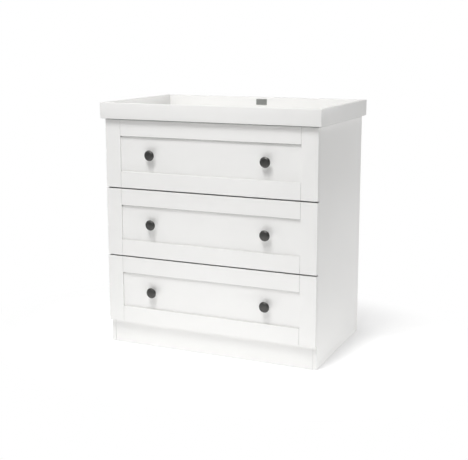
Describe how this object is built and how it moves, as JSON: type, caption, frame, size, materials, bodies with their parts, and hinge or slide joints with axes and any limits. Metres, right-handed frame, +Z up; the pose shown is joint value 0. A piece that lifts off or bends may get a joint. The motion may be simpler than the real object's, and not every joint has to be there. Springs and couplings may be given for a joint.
{
  "type": "changing table dresser",
  "caption": "White panelled-front dresser with sliding drawers and dark round knobs, and a raised-rim changing tray fixed on top.",
  "frame": {"origin": "on the floor, under the middle of the object's whole box", "axes": "+Z up, the drawer fronts face -Y, +X to the right as seen from the front"},
  "size_m": [0.952, 0.6076, 1.0185],
  "materials": {
    "cabinet_board": "satin white lacquer on 16 mm fibreboard",
    "tray_board": "satin white lacquer on 16 mm fibreboard",
    "drawer_front": "satin white lacquer on a framed and panelled front",
    "drawer_box": "matt white melamine on 12 mm chipboard",
    "hardboard": "matt white painted 4 mm hardboard",
    "knob": "dark gunmetal, satin, cast and turned",
    "zinc_steel": "bright zinc-plated pressed steel",
    "plate": "brushed, grey-anodised and blank"
  },
  "bodies": {
    "cabinet": {"side_panel_left": "cabinet_board", "side_panel_right": "cabinet_board", "top_panel": "cabinet_board", "bottom_panel": "cabinet_board", "back_panel": "hardboard", "kickboard": "cabinet_board", "rear_stretcher": "cabinet_board", "tray_front_board": "tray_board", "tray_rear_board": "tray_board", "tray_left_board": "tray_board", "tray_right_board": "tray_board", "tray_base": "tray_board", "name_plate": "plate", "tray_bracket_left": "zinc_steel", "tray_bracket_right": "zinc_steel", "bottom_drawer_channel_left": "zinc_steel", "bottom_drawer_channel_right": "zinc_steel", "middle_drawer_channel_left": "zinc_steel", "middle_drawer_channel_right": "zinc_steel", "top_drawer_channel_left": "zinc_steel", "top_drawer_channel_right": "zinc_steel"},
    "bottom_drawer": {"bottom_drawer_stile_left": "drawer_front", "bottom_drawer_stile_right": "drawer_front", "bottom_drawer_rail_lower": "drawer_front", "bottom_drawer_rail_upper": "drawer_front", "bottom_drawer_panel": "drawer_front", "bottom_drawer_box_left": "drawer_box", "bottom_drawer_box_right": "drawer_box", "bottom_drawer_box_back": "drawer_box", "bottom_drawer_box_base": "hardboard", "bottom_drawer_knob_left": "knob", "bottom_drawer_knob_right": "knob", "bottom_drawer_slider_left": "zinc_steel", "bottom_drawer_slider_right": "zinc_steel"},
    "middle_drawer": {"middle_drawer_stile_left": "drawer_front", "middle_drawer_stile_right": "drawer_front", "middle_drawer_rail_lower": "drawer_front", "middle_drawer_rail_upper": "drawer_front", "middle_drawer_panel": "drawer_front", "middle_drawer_box_left": "drawer_box", "middle_drawer_box_right": "drawer_box", "middle_drawer_box_back": "drawer_box", "middle_drawer_box_base": "hardboard", "middle_drawer_knob_left": "knob", "middle_drawer_knob_right": "knob", "middle_drawer_slider_left": "zinc_steel", "middle_drawer_slider_right": "zinc_steel"},
    "top_drawer": {"top_drawer_stile_left": "drawer_front", "top_drawer_stile_right": "drawer_front", "top_drawer_rail_lower": "drawer_front", "top_drawer_rail_upper": "drawer_front", "top_drawer_panel": "drawer_front", "top_drawer_box_left": "drawer_box", "top_drawer_box_right": "drawer_box", "top_drawer_box_back": "drawer_box", "top_drawer_box_base": "hardboard", "top_drawer_knob_left": "knob", "top_drawer_knob_right": "knob", "top_drawer_slider_left": "zinc_steel", "top_drawer_slider_right": "zinc_steel"}
  },
  "joints": [
    {"name": "top_drawer_slide", "type": "slide", "parent": "cabinet", "child": "top_drawer", "axis": [0, -1, 0], "range_m": [0, 0.34]},
    {"name": "middle_drawer_slide", "type": "slide", "parent": "cabinet", "child": "middle_drawer", "axis": [0, -1, 0], "range_m": [0, 0.34]},
    {"name": "bottom_drawer_slide", "type": "slide", "parent": "cabinet", "child": "bottom_drawer", "axis": [0, -1, 0], "range_m": [0, 0.34]}
  ]
}
